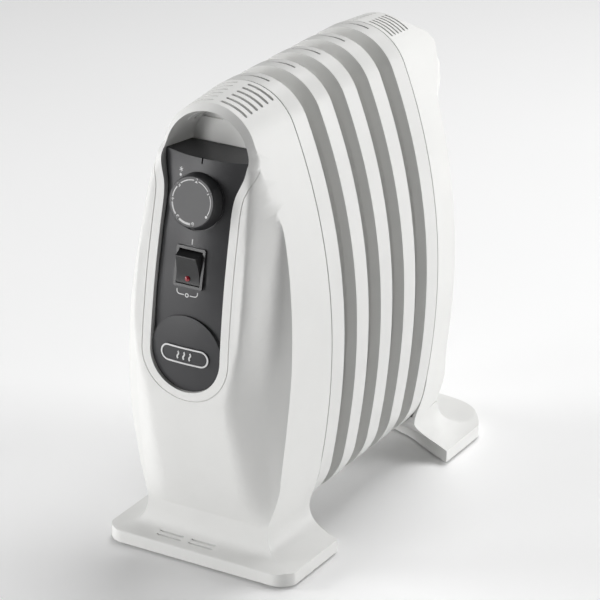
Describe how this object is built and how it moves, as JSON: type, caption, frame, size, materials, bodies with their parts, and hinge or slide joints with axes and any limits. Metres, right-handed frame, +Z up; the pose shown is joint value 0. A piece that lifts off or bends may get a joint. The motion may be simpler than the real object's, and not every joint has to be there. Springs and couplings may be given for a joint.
{
  "type": "oil filled radiator heater",
  "caption": "Small freestanding oil filled radiator: white finned body between two moulded end casings on wide feet, dark control panel with thermostat knob and rocker switch",
  "frame": {"origin": "centre of the bounding box in plan, on the floor under the pads", "axes": "the control panel faces -Y, +X is on the right when looking at the panel, +Z is up"},
  "size_m": [0.168, 0.3712, 0.3736],
  "materials": {
    "fin_paint": "smooth satin white baked enamel",
    "casing_white": "white moulded plastic with a soft sheen",
    "panel_dark": "fine-grained charcoal moulded plastic",
    "knob_dark": "charcoal moulded plastic with printed scale",
    "switch_black": "black moulded plastic",
    "lens_red": "clear red moulded plastic",
    "badge": "dark plate with a bright raised outline",
    "zinc_steel": "zinc plated sheet steel",
    "element_steel": "steel tube sheath",
    "brass_part": "plain brass",
    "pad_rubber": "matt black rubber",
    "cover_grey": "dark grey moulded plastic",
    "thermo_resin": "brown phenolic moulding",
    "block_white": "off-white nylon",
    "wire_brown": "brown PVC sleeve",
    "wire_blue": "blue PVC sleeve",
    "wire_green": "green and yellow PVC sleeve"
  },
  "bodies": {
    "heater": {"fin_1": "fin_paint", "fin_2": "fin_paint", "fin_3": "fin_paint", "fin_4": "fin_paint", "fin_5": "fin_paint", "front_casing": "casing_white", "rear_casing": "casing_white", "control_panel": "panel_dark", "thermostat_body": "thermo_resin", "thermostat_terminals": "brass_part", "switch_housing": "switch_black", "switch_terminals": "brass_part", "badge_plate": "badge", "header_nipples_top": "fin_paint", "header_nipples_bottom": "fin_paint", "front_bracket": "zinc_steel", "rear_bracket": "zinc_steel", "element_flange": "brass_part", "heating_element": "element_steel", "element_terminals": "zinc_steel", "filler_plug": "zinc_steel", "thermal_cutout": "thermo_resin", "heat_shield": "zinc_steel", "shield_spacers": "zinc_steel", "shield_screws": "zinc_steel", "terminal_block": "block_white", "live_wire": "wire_brown", "neutral_wire": "wire_blue", "earth_wire": "wire_green", "cord_inlet": "cover_grey", "front_base_cover": "cover_grey", "front_base_screws": "zinc_steel", "front_pads": "pad_rubber", "rear_base_cover": "cover_grey", "rear_base_screws": "zinc_steel", "rear_pads": "pad_rubber"},
    "thermostat_knob": {"knob": "knob_dark", "thermostat_spindle": "brass_part"},
    "rocker": {"switch_rocker": "switch_black", "switch_lens": "lens_red"}
  },
  "joints": [
    {"name": "knob_turn", "type": "hinge", "parent": "heater", "child": "thermostat_knob", "pos_m": [0, -0.1744, 0.3019], "axis": [0, -0.9744, 0.225], "range_deg": [-192, 122]},
    {"name": "rocker_tilt", "type": "hinge", "parent": "heater", "child": "rocker", "pos_m": [0, -0.17336, 0.25038], "axis": [1, 0, 0], "range_deg": [-22, 0]}
  ]
}
